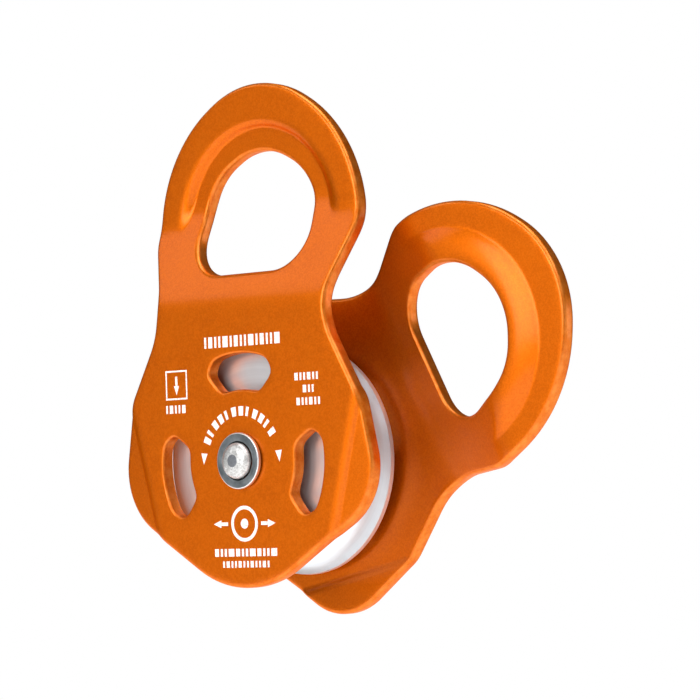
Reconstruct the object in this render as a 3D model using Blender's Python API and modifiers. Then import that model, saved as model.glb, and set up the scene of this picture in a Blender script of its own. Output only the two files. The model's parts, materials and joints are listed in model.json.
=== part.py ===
"""Swing-cheek rope pulley, in metres, +Z up, axle along Y.

Two identical pressed side plates hang from one carabiner and carry a riveted axle.
The grooved sheave runs on two flanged bushes round the axle's sleeve.  The front
plate hangs upright; the rear one is the same plate turned round and swung open.
The origin is the centre of the front plate's eye, on the sheave's middle plane.
"""

import math

import bmesh
import bpy

MM = 0.001

# ---- driving dimensions ------------------------------------------------------------

EYE_HEIGHT = 40.0 * MM          # eye centre above the axle
PLATE_SWING = math.radians(62.5)  # rear plate, clockwise from the front one
GAP = 0.3 * MM                  # between neighbouring pieces

PLATE_THICKNESS = 2.6 * MM
PLATE_INNER_Y = 7.8 * MM        # plate's inner face from the middle plane
EYE_OFFSET = 5.8 * MM           # how far the neck brings the eye inwards
RIM_OFFSET = 1.1 * MM           # the eye's rim is pressed this much further in
RIM_RADIUS = 17.8 * MM          # of that pressed rim, about the eye centre
RIM_LAP = 1.01                  # the rim is made this much larger, to join the plate
RIM_SHIFT = 0.02 * MM           # and set this far inwards, so that no faces coincide
NECK_START = 26.6 * MM          # height above the axle of the neck's first bend
NECK_SLOPE = 0.39               # offset gained for each unit of height
NECK_BEND = 5.0 * MM            # height over which each neck bend is rounded
SHEET_BOTTOM = -30.0 * MM       # the sheet before trimming reaches from here
SHEET_TOP = 70.0 * MM           # to here, past the outline at both ends

EAR_OFFSET = 1.0 * MM           # the ears are pressed this much inwards
EAR_RAMP = 2.5 * MM             # width of the slope that leads to them
EAR_WIDTH = 12.0 * MM           # of the sheet beyond the crease, before trimming
EAR_CREASE_X = 24.0 * MM        # crease's distance from the middle, level with the axle
EAR_CREASE_LEAN = 0.263         # how much further out it runs for each unit of height

SLOT_ANGLES = (90.0, -9.0, 189.0)  # degrees from +X, seen from the front
SLOT_INNER_RADIUS = 12.2 * MM
SLOT_OUTER_RADIUS = 18.5 * MM
SLOT_INNER_HALF_ANGLE = math.radians(20.0)
SLOT_OUTER_HALF_ANGLE = math.radians(19.5)
SLOT_END_RADIUS = 16.6 * MM     # of the blunt points at the slot's two ends
SLOT_END_HALF_ANGLE = math.radians(26.5)

PIN_RADIUS = 2.6 * MM
PIN_HEAD_RADIUS = 3.1 * MM
PIN_HEAD_START = 11.45 * MM     # where the flared end is widest, along the axle
PIN_HEAD_END = 12.8 * MM
PIN_TIP_RADIUS = 1.1 * MM

HEAD_WASHER_RADIUS = 4.8 * MM
HEAD_WASHER_INNER_Y = 10.65 * MM
HEAD_WASHER_OUTER_Y = 11.4 * MM
HEAD_WASHER_CHAMFER = 0.25 * MM

SLEEVE_RADIUS = 5.0 * MM
THRUST_WASHER_RADIUS = 8.6 * MM
THRUST_WASHER_THICKNESS = 0.5 * MM

SHEAVE_RADIUS = 20.0 * MM
SHEAVE_HALF_WIDTH = 6.4 * MM
SHEAVE_BORE_RADIUS = 6.8 * MM
SHEAVE_RECESS_RADIUS = 9.6 * MM  # round recess that takes the bush's flange
SHEAVE_RECESS_Y = 5.6 * MM      # its floor, from the middle plane
SHEAVE_CHAMFER = 0.5 * MM
GROOVE_RADIUS = 5.9 * MM        # of the rope's seat
GROOVE_CENTRE_RADIUS = 19.2 * MM
GROOVE_STEPS = 5                # segments across the groove, rim to seat

BUSH_FLANGE_RADIUS = 8.6 * MM
BUSH_FLANGE_THICKNESS = 0.6 * MM

ROUND_STEPS = 36                # segments round the sheave
SMALL_ROUND_STEPS = 28          # segments round the small turned pieces
ARC_STEP = math.radians(12.0)   # of the plate's rounded corners

# The plate's right half, upwards from the bottom: x, height above the axle, radius.
PLATE_CORNERS = (
    (0.0, -25.4 * MM, 20.8 * MM),
    (29.6 * MM, -7.0 * MM, 11.9 * MM),
    (26.3 * MM, 10.2 * MM, 10.3 * MM),
    (18.1 * MM, 25.1 * MM, 13.8 * MM),
    (23.1 * MM, 38.5 * MM, 9.6 * MM),
    (22.9 * MM, 54.6 * MM, 25.4 * MM),
    (0.0, 68.6 * MM, 19.4 * MM),
)
EYE_HOLE_CORNERS = (
    (13.4 * MM, 32.2 * MM, 6.9 * MM),
    (11.9 * MM, 48.7 * MM, 11.0 * MM),
    (0.0, 55.2 * MM, 12.0 * MM),
)

MODEL = "rope_pulley"
CUTTERS = "cutters"

# ---- materials ---------------------------------------------------------------------


def principled(name, colour, roughness, metallic):
    material = bpy.data.materials.new(name)
    material.use_nodes = True
    shader = material.node_tree.nodes["Principled BSDF"]
    shader.inputs["Base Color"].default_value = (*colour, 1.0)
    shader.inputs["Roughness"].default_value = roughness
    shader.inputs["Metallic"].default_value = metallic
    material.diffuse_color = (*colour, 1.0)
    return material


# ---- outlines ----------------------------------------------------------------------


def both_sides(right_half):
    """The whole outline, anticlockwise, from its right half given upwards."""
    left_half = [(-x, z, r) for x, z, r in reversed(right_half) if x > 0.0]
    return list(right_half) + left_half


def rounded_outline(corners):
    """Points of a closed polygon whose corners (x, z, radius) are true arcs."""
    points = []
    for index, (x, z, radius) in enumerate(corners):
        before = corners[index - 1]
        after = corners[(index + 1) % len(corners)]
        towards_before = math.atan2(before[1] - z, before[0] - x)
        towards_after = math.atan2(after[1] - z, after[0] - x)
        turn = (towards_before - towards_after) % (2.0 * math.pi)
        half = min(turn, 2.0 * math.pi - turn) / 2.0
        inwards = towards_after + (half if turn < math.pi else -half)
        centre_x = x + radius / math.sin(half) * math.cos(inwards)
        centre_z = z + radius / math.sin(half) * math.sin(inwards)
        sweep = (math.pi - 2.0 * half) * (1.0 if turn < math.pi else -1.0)
        steps = max(2, math.ceil(abs(sweep) / ARC_STEP))
        for step in range(steps + 1):
            angle = inwards + math.pi + sweep * (step / steps - 0.5)
            points.append((centre_x + radius * math.cos(angle),
                           centre_z + radius * math.sin(angle)))
    return points


def arc(radius, start, end, steps):
    """Points about the axle, from one angle to the other."""
    angles = [start + (end - start) * step / steps for step in range(steps + 1)]
    return [(radius * math.cos(a), radius * math.sin(a)) for a in angles]


def slot_outline(angle):
    """A bean-shaped window, concentric with the axle, with pointed ends."""
    outer = arc(SLOT_OUTER_RADIUS, angle - SLOT_OUTER_HALF_ANGLE,
                angle + SLOT_OUTER_HALF_ANGLE, 6)
    inner = arc(SLOT_INNER_RADIUS, angle + SLOT_INNER_HALF_ANGLE,
                angle - SLOT_INNER_HALF_ANGLE, 5)
    left, right = arc(SLOT_END_RADIUS, angle + SLOT_END_HALF_ANGLE,
                      angle - SLOT_END_HALF_ANGLE, 1)
    return outer + [left] + inner + [right]


# ---- building blocks ---------------------------------------------------------------


def collection(name):
    made = bpy.data.collections.new(name)
    bpy.context.scene.collection.children.link(made)
    return made


def evaluated_copy(source):
    """The object's mesh with its modifiers, welded; the object itself is removed."""
    bpy.context.view_layer.update()
    mesh = bpy.data.meshes.new_from_object(source.evaluated_get(
        bpy.context.evaluated_depsgraph_get()))
    shaped = bmesh.new()
    shaped.from_mesh(mesh)
    bmesh.ops.remove_doubles(shaped, verts=shaped.verts, dist=0.00001)
    shaped.to_mesh(mesh)
    shaped.free()
    bpy.data.objects.remove(source)
    return mesh


def prism(name, outline, depth):
    """A cutter: the outline, drawn in X and Z, as deep as given along Y."""
    curve = bpy.data.curves.new(name, "CURVE")
    curve.dimensions = "2D"
    curve.fill_mode = "BOTH"
    curve.extrude = depth / 2.0
    spline = curve.splines.new("POLY")
    spline.points.add(len(outline) - 1)
    for point, (x, z) in zip(spline.points, outline):
        point.co = (x, z, 0.0, 1.0)
    spline.use_cyclic_u = True
    drawn = bpy.data.objects.new(name, curve)
    drawn.rotation_euler = (math.radians(90.0), 0.0, 0.0)
    bpy.data.collections[CUTTERS].objects.link(drawn)
    bpy.context.view_layer.update()
    placed = drawn.matrix_world.copy()
    cutter = bpy.data.objects.new(name, evaluated_copy(drawn))
    cutter.matrix_world = placed
    cutter.hide_render = True
    cutter.display_type = "WIRE"
    bpy.data.collections[CUTTERS].objects.link(cutter)
    return cutter


def boolean(target, operation, tool):
    cut = target.modifiers.new(tool.name, "BOOLEAN")
    cut.operation = operation
    cut.solver = "EXACT"
    cut.object = tool


def turned(name, profile, steps, material, closed=True):
    """A piece turned about the axle; the profile is (radius, distance along Y)."""
    mesh = bpy.data.meshes.new(name)
    edges = [(i, i + 1) for i in range(len(profile) - 1)]
    if closed:
        edges.append((len(profile) - 1, 0))
    mesh.from_pydata([(radius, 0.0, along) for radius, along in profile], edges, [])
    piece = bpy.data.objects.new(name, mesh)
    piece.location = (0.0, 0.0, -EYE_HEIGHT)
    piece.rotation_euler = (math.radians(-90.0), 0.0, 0.0)
    screw = piece.modifiers.new("turn", "SCREW")
    screw.angle = 2.0 * math.pi
    screw.steps = steps
    screw.render_steps = steps
    screw.use_merge_vertices = True
    screw.merge_threshold = 0.00001
    screw.use_smooth_shade = True
    mesh.materials.append(material)
    bpy.data.collections[MODEL].objects.link(piece)
    return piece


def mirrored(half_profile):
    """A full turned profile, top to bottom, from its half with Y above zero."""
    return half_profile + [(radius, -along) for radius, along in reversed(half_profile)]


# ---- side plates -------------------------------------------------------------------


def bend_rise(past_bend):
    """Height gained past a bend from flat to sloping, rounded half before and half after."""
    half = NECK_BEND / 2.0
    if past_bend <= -half:
        return 0.0
    if past_bend >= half:
        return NECK_SLOPE * past_bend
    return NECK_SLOPE * (past_bend + half) ** 2 / (2.0 * NECK_BEND)


def neck_offset(height, depth):
    """How far the plate has come inwards at a height: one bend starts it, one ends it."""
    end = NECK_START + depth / NECK_SLOPE
    return bend_rise(height - NECK_START) - bend_rise(height - end)


def pressed_sheet(name, depth):
    """The plate before trimming: a bent sheet whose eye lies at the given depth."""
    half_bend = NECK_BEND / 2.0
    end = NECK_START + depth / NECK_SLOPE
    heights = [SHEET_BOTTOM]
    for bend in (NECK_START, end):
        heights += [bend - half_bend, bend - half_bend / 2.0, bend,
                    bend + half_bend / 2.0, bend + half_bend]
    heights.append(SHEET_TOP)
    right_side = [(1.0, -EAR_RAMP, 0.0), (1.0, 0.0, EAR_OFFSET), (1.0, EAR_WIDTH, EAR_OFFSET)]
    left_side = [(-1.0, beyond, ear) for _, beyond, ear in reversed(right_side)]
    sides = left_side + right_side
    middle_y = PLATE_INNER_Y + PLATE_THICKNESS / 2.0

    sheet = bmesh.new()
    rows = []
    for height in heights:
        crease = EAR_CREASE_X + EAR_CREASE_LEAN * height
        y = neck_offset(height, depth) - middle_y
        rows.append([sheet.verts.new((side * (crease + beyond), y + ear, height))
                     for side, beyond, ear in sides])
    for low, high in zip(rows, rows[1:]):
        for i in range(len(sides) - 1):
            sheet.faces.new((low[i], low[i + 1], high[i + 1], high[i]))
    mesh = bpy.data.meshes.new(name)
    sheet.to_mesh(mesh)
    sheet.free()
    piece = bpy.data.objects.new(name, mesh)
    bpy.data.collections[CUTTERS].objects.link(piece)
    shell = piece.modifiers.new("thickness", "SOLIDIFY")
    shell.thickness = PLATE_THICKNESS
    shell.offset = 0.0
    shell.use_even_offset = True
    return piece


def side_plate_mesh():
    """One pressed plate about the axle, its outer face towards -Y."""
    through = 4.0 * PLATE_INNER_Y
    around_eye = [(x, z + EYE_HEIGHT) for x, z in arc(RIM_RADIUS, 0.0, 2.0 * math.pi, 40)[:-1]]
    within_eye = [(x * RIM_LAP, EYE_HEIGHT + (z - EYE_HEIGHT) * RIM_LAP) for x, z in around_eye]

    rim = pressed_sheet("rim", EYE_OFFSET + RIM_OFFSET)
    rim.location.y = RIM_SHIFT
    boolean(rim, "INTERSECT", prism("rim_insert", within_eye, through))

    plate = pressed_sheet("plate", EYE_OFFSET)
    boolean(plate, "DIFFERENCE", prism("rim_area", around_eye, through))
    boolean(plate, "UNION", rim)
    boolean(plate, "INTERSECT", prism("outline", rounded_outline(both_sides(PLATE_CORNERS)),
                                      through))
    boolean(plate, "DIFFERENCE", prism("eye_hole", rounded_outline(both_sides(EYE_HOLE_CORNERS)),
                                       through))
    for number, angle in enumerate(SLOT_ANGLES):
        boolean(plate, "DIFFERENCE", prism(f"slot_{number}", slot_outline(math.radians(angle)),
                                           through))
    bore = arc(PIN_RADIUS + GAP, 0.0, 2.0 * math.pi, SMALL_ROUND_STEPS)[:-1]
    boolean(plate, "DIFFERENCE", prism("axle_bore", bore, through))
    mesh = evaluated_copy(plate)
    bpy.data.objects.remove(rim)
    return mesh


def side_plates(material):
    mesh = side_plate_mesh()
    mesh.materials.clear()
    mesh.materials.append(material)
    turns = {"front_side_plate": (0.0, 0.0, 0.0),
             "rear_side_plate": (0.0, -PLATE_SWING, math.pi)}
    for name, turn in turns.items():
        plate = bpy.data.objects.new(name, mesh)
        plate.location = (0.0, 0.0, -EYE_HEIGHT)
        plate.rotation_euler = turn
        bpy.data.collections[MODEL].objects.link(plate)


# ---- sheave and its bearing --------------------------------------------------------


def sheave(material):
    """Grooved wheel with flat sides, a recess for each bush flange and chamfered rims."""
    lip_y = math.sqrt(GROOVE_RADIUS ** 2 - (SHEAVE_RADIUS - GROOVE_CENTRE_RADIUS) ** 2)
    lip_angle = math.atan2(lip_y, SHEAVE_RADIUS - GROOVE_CENTRE_RADIUS)
    groove = []
    for step in range(GROOVE_STEPS + 1):
        angle = lip_angle + (math.pi - lip_angle) * step / GROOVE_STEPS
        groove.append((GROOVE_CENTRE_RADIUS + GROOVE_RADIUS * math.cos(angle),
                       GROOVE_RADIUS * math.sin(angle)))
    half = [
        (SHEAVE_BORE_RADIUS, SHEAVE_RECESS_Y),
        (SHEAVE_RECESS_RADIUS, SHEAVE_RECESS_Y),
        (SHEAVE_RECESS_RADIUS + SHEAVE_CHAMFER, SHEAVE_HALF_WIDTH),
        (SHEAVE_RADIUS - SHEAVE_CHAMFER, SHEAVE_HALF_WIDTH),
        (SHEAVE_RADIUS, SHEAVE_HALF_WIDTH - SHEAVE_CHAMFER / 2.0),
    ] + groove[:-1]
    full = half + [groove[-1]] + [(radius, -along) for radius, along in reversed(half)]
    return turned("sheave", full, ROUND_STEPS, material)


def bushes(material):
    """Two flanged bushes, pushed into the sheave's bore from its two sides."""
    inner = SLEEVE_RADIUS + GAP
    outer = SHEAVE_BORE_RADIUS - GAP
    flange_inner_y = SHEAVE_RECESS_Y + GAP
    flange_outer_y = flange_inner_y + BUSH_FLANGE_THICKNESS
    front = [
        (inner, flange_outer_y),
        (BUSH_FLANGE_RADIUS, flange_outer_y),
        (BUSH_FLANGE_RADIUS, flange_inner_y),
        (outer, flange_inner_y),
        (outer, GAP),
        (inner, GAP),
    ]
    turned("rear_bush", front, SMALL_ROUND_STEPS, material)
    turned("front_bush", [(radius, -along) for radius, along in reversed(front)],
           SMALL_ROUND_STEPS, material)


def ring(name, inner, outer, low_y, high_y, material):
    """A plain turned ring between two distances along the axle."""
    profile = [(inner, high_y), (outer, high_y), (outer, low_y), (inner, low_y)]
    return turned(name, profile, SMALL_ROUND_STEPS, material)


def thrust_washers(material):
    high = PLATE_INNER_Y - GAP
    low = high - THRUST_WASHER_THICKNESS
    inner = SLEEVE_RADIUS + GAP
    ring("rear_thrust_washer", inner, THRUST_WASHER_RADIUS, low, high, material)
    ring("front_thrust_washer", inner, THRUST_WASHER_RADIUS, -high, -low, material)


# ---- axle --------------------------------------------------------------------------


def axle_pin(material):
    """Steel pin, flared and domed at both ends where it is riveted over."""
    dome_steps = 4
    dome = []
    for step in range(dome_steps + 1):
        angle = math.pi / 2.0 * step / dome_steps
        dome.append((PIN_TIP_RADIUS + (PIN_HEAD_RADIUS - PIN_TIP_RADIUS) * math.sin(angle),
                     PIN_HEAD_START + (PIN_HEAD_END - PIN_HEAD_START) * math.cos(angle)))
    flare = PIN_HEAD_RADIUS - PIN_RADIUS
    half = [(0.0, PIN_HEAD_END)] + dome + [(PIN_RADIUS, PIN_HEAD_START - flare)]
    return turned("axle_pin", mirrored(half), SMALL_ROUND_STEPS, material, closed=False)


def head_washers(material):
    """Washers under the riveted ends, countersunk to take the flare."""
    bore = PIN_RADIUS + GAP
    mouth = PIN_HEAD_RADIUS + GAP
    rear = [
        (mouth, HEAD_WASHER_OUTER_Y),
        (HEAD_WASHER_RADIUS - HEAD_WASHER_CHAMFER, HEAD_WASHER_OUTER_Y),
        (HEAD_WASHER_RADIUS, HEAD_WASHER_OUTER_Y - HEAD_WASHER_CHAMFER),
        (HEAD_WASHER_RADIUS, HEAD_WASHER_INNER_Y),
        (bore, HEAD_WASHER_INNER_Y),
    ]
    turned("rear_head_washer", rear, SMALL_ROUND_STEPS, material)
    turned("front_head_washer", [(radius, -along) for radius, along in reversed(rear)],
           SMALL_ROUND_STEPS, material)


def main():
    for leftover in list(bpy.data.objects):
        bpy.data.objects.remove(leftover)
    collection(MODEL)
    collection(CUTTERS)

    side_plates(principled("orange_anodised", (0.60, 0.105, 0.0), 0.36, 1.0))
    sheave(principled("sheave_aluminium", (0.78, 0.79, 0.80), 0.28, 1.0))
    bushes(principled("bush_bronze", (0.45, 0.30, 0.12), 0.5, 1.0))
    thrust_washers(principled("washer_nylon", (0.80, 0.80, 0.76), 0.5, 0.0))
    axle_pin(principled("pin_steel", (0.55, 0.55, 0.53), 0.3, 1.0))
    ring("axle_sleeve", PIN_RADIUS + GAP, SLEEVE_RADIUS, -(PLATE_INNER_Y - GAP),
         PLATE_INNER_Y - GAP, principled("sleeve_steel", (0.50, 0.51, 0.52), 0.3, 1.0))
    head_washers(principled("washer_zinc", (0.42, 0.46, 0.48), 0.4, 1.0))


main()
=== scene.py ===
"""Looks of the swing-cheek rope pulley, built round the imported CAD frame.

Lengths are in millimetres about the axle unless they say otherwise. Each mesh is made in
metres, with its local origin and Y axis on the axle. It is then placed on the axle and
rides on its CAD body. On a plate, u runs across and v runs up from the axle.
"""

import itertools
import json
import math

import bmesh
import bpy
import numpy as np
from mathutils import Euler, Matrix, Vector, noise
from mathutils.geometry import delaunay_2d_cdt


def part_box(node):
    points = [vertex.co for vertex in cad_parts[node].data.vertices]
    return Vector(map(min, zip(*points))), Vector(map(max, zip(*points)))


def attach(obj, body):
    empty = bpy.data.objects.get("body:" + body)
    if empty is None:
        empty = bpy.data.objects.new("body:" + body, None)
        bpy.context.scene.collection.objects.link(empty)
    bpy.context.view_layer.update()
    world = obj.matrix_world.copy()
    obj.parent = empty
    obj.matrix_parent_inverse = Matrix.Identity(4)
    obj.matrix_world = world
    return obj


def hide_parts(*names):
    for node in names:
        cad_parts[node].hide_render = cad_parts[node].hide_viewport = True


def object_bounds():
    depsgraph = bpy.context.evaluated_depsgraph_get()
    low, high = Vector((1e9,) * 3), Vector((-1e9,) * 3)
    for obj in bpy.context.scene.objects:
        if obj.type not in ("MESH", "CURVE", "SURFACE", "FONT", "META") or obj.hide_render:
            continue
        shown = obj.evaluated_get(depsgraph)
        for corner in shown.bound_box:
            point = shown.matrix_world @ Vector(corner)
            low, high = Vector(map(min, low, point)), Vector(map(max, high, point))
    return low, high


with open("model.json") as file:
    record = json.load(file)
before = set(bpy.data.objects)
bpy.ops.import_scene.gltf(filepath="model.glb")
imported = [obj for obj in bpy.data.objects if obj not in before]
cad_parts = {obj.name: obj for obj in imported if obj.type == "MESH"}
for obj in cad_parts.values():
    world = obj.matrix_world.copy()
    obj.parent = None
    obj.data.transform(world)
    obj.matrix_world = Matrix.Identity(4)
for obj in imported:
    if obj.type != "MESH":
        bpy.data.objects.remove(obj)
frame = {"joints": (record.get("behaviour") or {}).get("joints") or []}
CAD_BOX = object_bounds()

MM = 0.001
# The plates' edge mask: the orange material uses it for rubbed wear and for a painted gold
# highlight along the edges.
EDGE_WEAR_AND_HIGHLIGHT_ATTRIBUTE = "edge_wear_and_highlight"       # 0 on a sheet's faces, up to 1 on its edges
JOINTS = {joint["name"]: joint for joint in frame["joints"]}
AXLE = Vector(JOINTS["rear_plate_swing"]["pos_m"])

# ---- side plates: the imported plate's own outline, and how its sheet is pressed -----------

PLATE_SWING = math.radians(62.5)   # rear plate, clockwise from the front one
EYE_HEIGHT = 40.0                  # the eye's centre above the axle
PLATE_INNER_Y = 7.8                # inner face, from the sheave's middle plane
PLATE_THICKNESS = 2.6
EDGE_ROUND = 0.7
SLOT_EDGE_ROUND = 0.45
BORE_EDGE_ROUND = 0.2
BORE_RADIUS = 2.9

EYE_OFFSET = 5.8                   # how far the neck brings the eye inwards
NECK_START = 26.6                  # height where the neck starts to lean inwards
NECK_SLOPE = 0.39
NECK_LOW_BEND = 1.0                # softness of the neck's first bend
NECK_HIGH_BEND = 0.9               # and of its second
RIM_OFFSET = 1.13                  # how much further in the metal round the eye hole lies
RIM_OUTER_FACE = (19.5, 16.4)      # radii where the rim's step starts and ends, outer face
RIM_INNER_FACE = (19.2, 14.4)      # and inner face
RIM_OUTER_RISE = 1.2               # how much further out the outer step ends above the eye
OUTER_STEP_CURVE = 2.8             # how sharply a pressed step meets its crease, outer face
INNER_STEP_CURVE = 1.8             # and inner face
EAR_OFFSET = 0.6                   # depth of the ear's step
EAR_OUTER_RAMP = 2.5               # width of the ear's step on the outer face
EAR_INNER_RAMP = 1.7               # and on the inner face
EAR_SLOPE = 0.07                   # how the ear goes on leaning inwards beyond its crease
EAR_CREASE_X = 24.0                # from the centre line, level with the axle
EAR_CREASE_LEAN = 0.263            # how far the crease moves outwards with height

SLOT_ANGLES = (90.0, -9.0, 189.0)  # three windows, anticlockwise from the right
SLOT_INNER_RADIUS = 12.2
SLOT_OUTER_RADIUS = 18.4
SLOT_INNER_HALF_ANGLE = math.radians(20.0)
SLOT_OUTER_HALF_ANGLE = math.radians(19.5)
SLOT_END_RADIUS = 16.6
SLOT_END_HALF_ANGLE = math.radians(26.5)
SLOT_SOFTNESS = 0.85               # how far a window's corners are rounded
SLOT_OUTER_STEPS = 16
SLOT_INNER_STEPS = 12

PLATE_CORNERS = (                  # right half, upwards: x, height above the axle, radius
    (0.0, -25.4, 20.8),
    (29.6, -7.0, 11.9),
    (26.3, 10.2, 10.3),
    (18.1, 25.1, 13.8),
    (23.1, 38.5, 9.6),
    (22.9, 54.6, 25.4),
    (0.0, 68.6, 19.4),
)
EYE_HOLE_CORNERS = (
    (13.4, 32.2, 6.9),
    (11.9, 48.7, 11.0),
    (0.0, 55.2, 12.0),
)

OUTLINE_INSET = 0.05               # keeps the plate's edge just inside the CAD plate's
SHEET_SPACING = 0.8                # between the sheet's mesh points
SHEET_ROW_SHARE = 0.87             # of that, between two staggered rows
SHEET_HALF_WIDTH = 32.0            # half the width that the rows cover
SHEET_HEIGHTS = (-26.0, 70.0)      # and their heights
SHEET_GAP = 0.45 * SHEET_SPACING   # least distance from a row's point to any other
LOOP_SPACING = 0.55                # between points along an edge
FINE_SPACING = 0.1                 # the same while a slot's corners are being rounded
FEATURE_GAP = 0.25                 # least distance from a crease's point to an edge
RIM_ROW_REACH = (0.4, 0.5)         # rows along the rim's step start and stop this far off it
RIM_ROW_SPACING = 0.3              # between those rows
RIM_POINT_SPACING = 0.6            # and between the points of a row
EAR_ROWS = (-2.8, -2.5, -2.2, -1.9, -1.6, -1.3, -1.0, -0.7, -0.4, -0.15, 0.0, 0.15, 0.4)
EAR_ROW_HEIGHTS = (-24.0, 18.0)    # rows beside the ear's crease, and their two ends
EAR_POINT_SPACING = 0.5
EDGE_STEPS = 5                     # rows of faces round half of each rounded edge
BORE_STEPS = 48                    # segments round the plate's bore

# ---- sheave, bearing and axle ------------------------------------------------------------

SHEAVE_BORE = 6.8
SHEAVE_HUB_RADIUS = 9.6
SHEAVE_HUB_Y = 5.6                 # floor of the recess round the bush's flange
SHEAVE_HUB_SLOPE = 0.8             # width of the slope up from that floor
SHEAVE_RIM_CHAMFER = (0.15, 0.1)   # its width and height
GROOVE_RADIUS = 5.55               # of the groove's round section
GROOVE_CENTRE = 19.2               # and how far its centre is from the axle
GROOVE_STEPS = 48
BEARING_BORE = 5.3
BUSH_FLANGE = 0.6                  # its thickness
BUSH_PLAY = 0.3                    # between a bush and the sheave's bore
SLEEVE_BORE = 2.9
WASHER_BORE = 3.4
PIN_RADIUS = 2.6
PIN_HEAD_RADIUS = 3.1
PIN_TIP_RADIUS = 1.15
PIN_DOME_HEIGHT = 1.35
PIN_DOME_FULLNESS = 0.9            # below 1 the dome is fuller than an ellipse
PIN_TIP_DEPTH = 0.03               # the flat tip lies this much below the dome's top
PIN_DENTS = ((1.7, 0.07), (4.1, 0.035))   # hammer marks: how many per mm, how deep
DENT_BIAS = 0.05                   # added to their depth, so that most of them show
DENT_FADE = 0.5                    # width of the rim where they die away
DOME_STEPS = 14
SHAFT_ROW_Y = 6.0                  # an extra ring of points on the plain shaft
WHEEL_STEPS = 192                  # segments round the sheave
RING_STEPS = 96                    # segments round the small turned pieces
FINE_CORNER = math.radians(12.0)   # turn between points on a small rounded corner
CORNER = math.radians(15.0)
CRISP_DEGREES = 40.0               # a turned piece's sharper edges stay crisp

# ---- printed marks -----------------------------------------------------------------------

FILM = 0.02                        # how far a mark stands out of the face
WHEEL_MARK = (0.3, -10.7)          # centre of the small wheel pictogram
WHEEL_MARK_RING = (2.45, 3.05)     # inner and outer radius of its ring
WHEEL_MARK_STEPS = 64
BOX_MARK = (-14.7, 13.6)           # centre of the square outline at the left
BOX_MARK_SIZE = 4.8
BOX_MARK_LINE = 0.28
ARC_MARK_RADIUS = 8.5              # row of short marks round the pin
ARC_MARK_WIDTH = 1.6
ARC_MARK_ANGLES = range(158, 26, -11)
ARC_ARROW = (8.6, 0.8)             # arrow head at each end of that row, right one's place
WHEEL_ARROW_SHAFT = 4.6            # from the pictogram's centre to its arrows' shafts
WHEEL_ARROW_HEAD = 6.0             # and to their heads

# ---- studio, in metres -------------------------------------------------------------------

FLOOR_RADIUS = 0.9
FLOOR_STEPS = 96
FLOOR_DROP = 0.09                  # from the pulley's lowest point to the floor
FLOOR_GLOW = 0.56

LIGHT_DISTANCE = 0.9
WIDE_LIGHT = (0.55, 0.55)
LOW_LIGHT = (0.55, 0.25)
SOFTBOXES = (                      # name, azimuth and elevation in degrees, size, watts
    ("overhead", 0.0, 90.0, WIDE_LIGHT, 4.6),
    ("high_right", 60.0, 50.0, WIDE_LIGHT, 3.7),
    ("front", -5.0, 20.0, WIDE_LIGHT, 4.9),
    ("high_left", -55.0, 38.0, (0.35, 0.35), 0.85),
    ("right", 85.0, 3.0, LOW_LIGHT, 0.6),
    ("right_rear", 130.0, 3.0, LOW_LIGHT, 1.1),
    ("left_rear", 220.0, 3.0, LOW_LIGHT, 0.5),
    ("left_wall", -42.0, 5.0, (0.7, 0.7), 0.4),
)

CAMERA_AZIMUTH = math.radians(40.21)
CAMERA_ELEVATION = math.radians(-2.9)
CAMERA_ROLL = math.radians(-1.83)
CAMERA_DISTANCE = 0.520
CAMERA_AIM_RIGHT = 0.01238         # from the axle to the picture's middle
CAMERA_AIM_UP = 0.01869
CAMERA_LENS = 154.35               # millimetres
CAMERA_SENSOR = 36.0
CAMERA_CLIP = (0.01, 50.0)


# ---- flat outlines -----------------------------------------------------------------------


def both_sides(right_half):
    """The whole outline, anticlockwise, from its right half given upwards."""
    left_half = [(-x, z, r) for x, z, r in reversed(right_half) if x > 0.0]
    return list(right_half) + left_half


def rounded(corners, step=math.radians(3.0)):
    """Points of a closed polygon whose corners (x, z, radius) are true arcs."""
    points = []
    for index, (x, z, radius) in enumerate(corners):
        if radius == 0.0:
            points.append((x, z))
            continue
        before = corners[index - 1]
        after = corners[(index + 1) % len(corners)]
        towards_before = math.atan2(before[1] - z, before[0] - x)
        towards_after = math.atan2(after[1] - z, after[0] - x)
        turn = (towards_before - towards_after) % (2.0 * math.pi)
        half = min(turn, 2.0 * math.pi - turn) / 2.0
        inwards = towards_after + (half if turn < math.pi else -half)
        centre_x = x + radius / math.sin(half) * math.cos(inwards)
        centre_z = z + radius / math.sin(half) * math.sin(inwards)
        sweep = (math.pi - 2.0 * half) * (1.0 if turn < math.pi else -1.0)
        steps = max(2, math.ceil(abs(sweep) / step))
        for k in range(steps + 1):
            angle = inwards + math.pi + sweep * (k / steps - 0.5)
            points.append((centre_x + radius * math.cos(angle),
                           centre_z + radius * math.sin(angle)))
    return points


def resampled(points, spacing):
    """The closed polyline again, with evenly spaced points."""
    ring = np.array(list(points) + [points[0]], float)
    lengths = np.hypot(*np.diff(ring, axis=0).T)
    along = np.concatenate([[0.0], np.cumsum(lengths)])
    count = int(round(along[-1] / spacing))
    wanted = np.arange(count) * along[-1] / count
    return np.column_stack([np.interp(wanted, along, ring[:, axis]) for axis in (0, 1)])


def softened(ring, spacing, width):
    """Rounds a closed ring's corners by averaging each point with those about it."""
    reach = int(3.0 * width / spacing)
    shifts = range(-reach, reach + 1)
    weights = np.array([math.exp(-0.5 * (shift * spacing / width) ** 2) for shift in shifts])
    total = sum(w * np.roll(ring, shift, axis=0) for w, shift in zip(weights, shifts))
    return total / weights.sum()


def arc(radius, start, end, steps):
    """Points about the axle, from one angle to the other."""
    angles = np.linspace(start, end, steps + 1)
    return [(radius * math.cos(a), radius * math.sin(a)) for a in angles]


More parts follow.
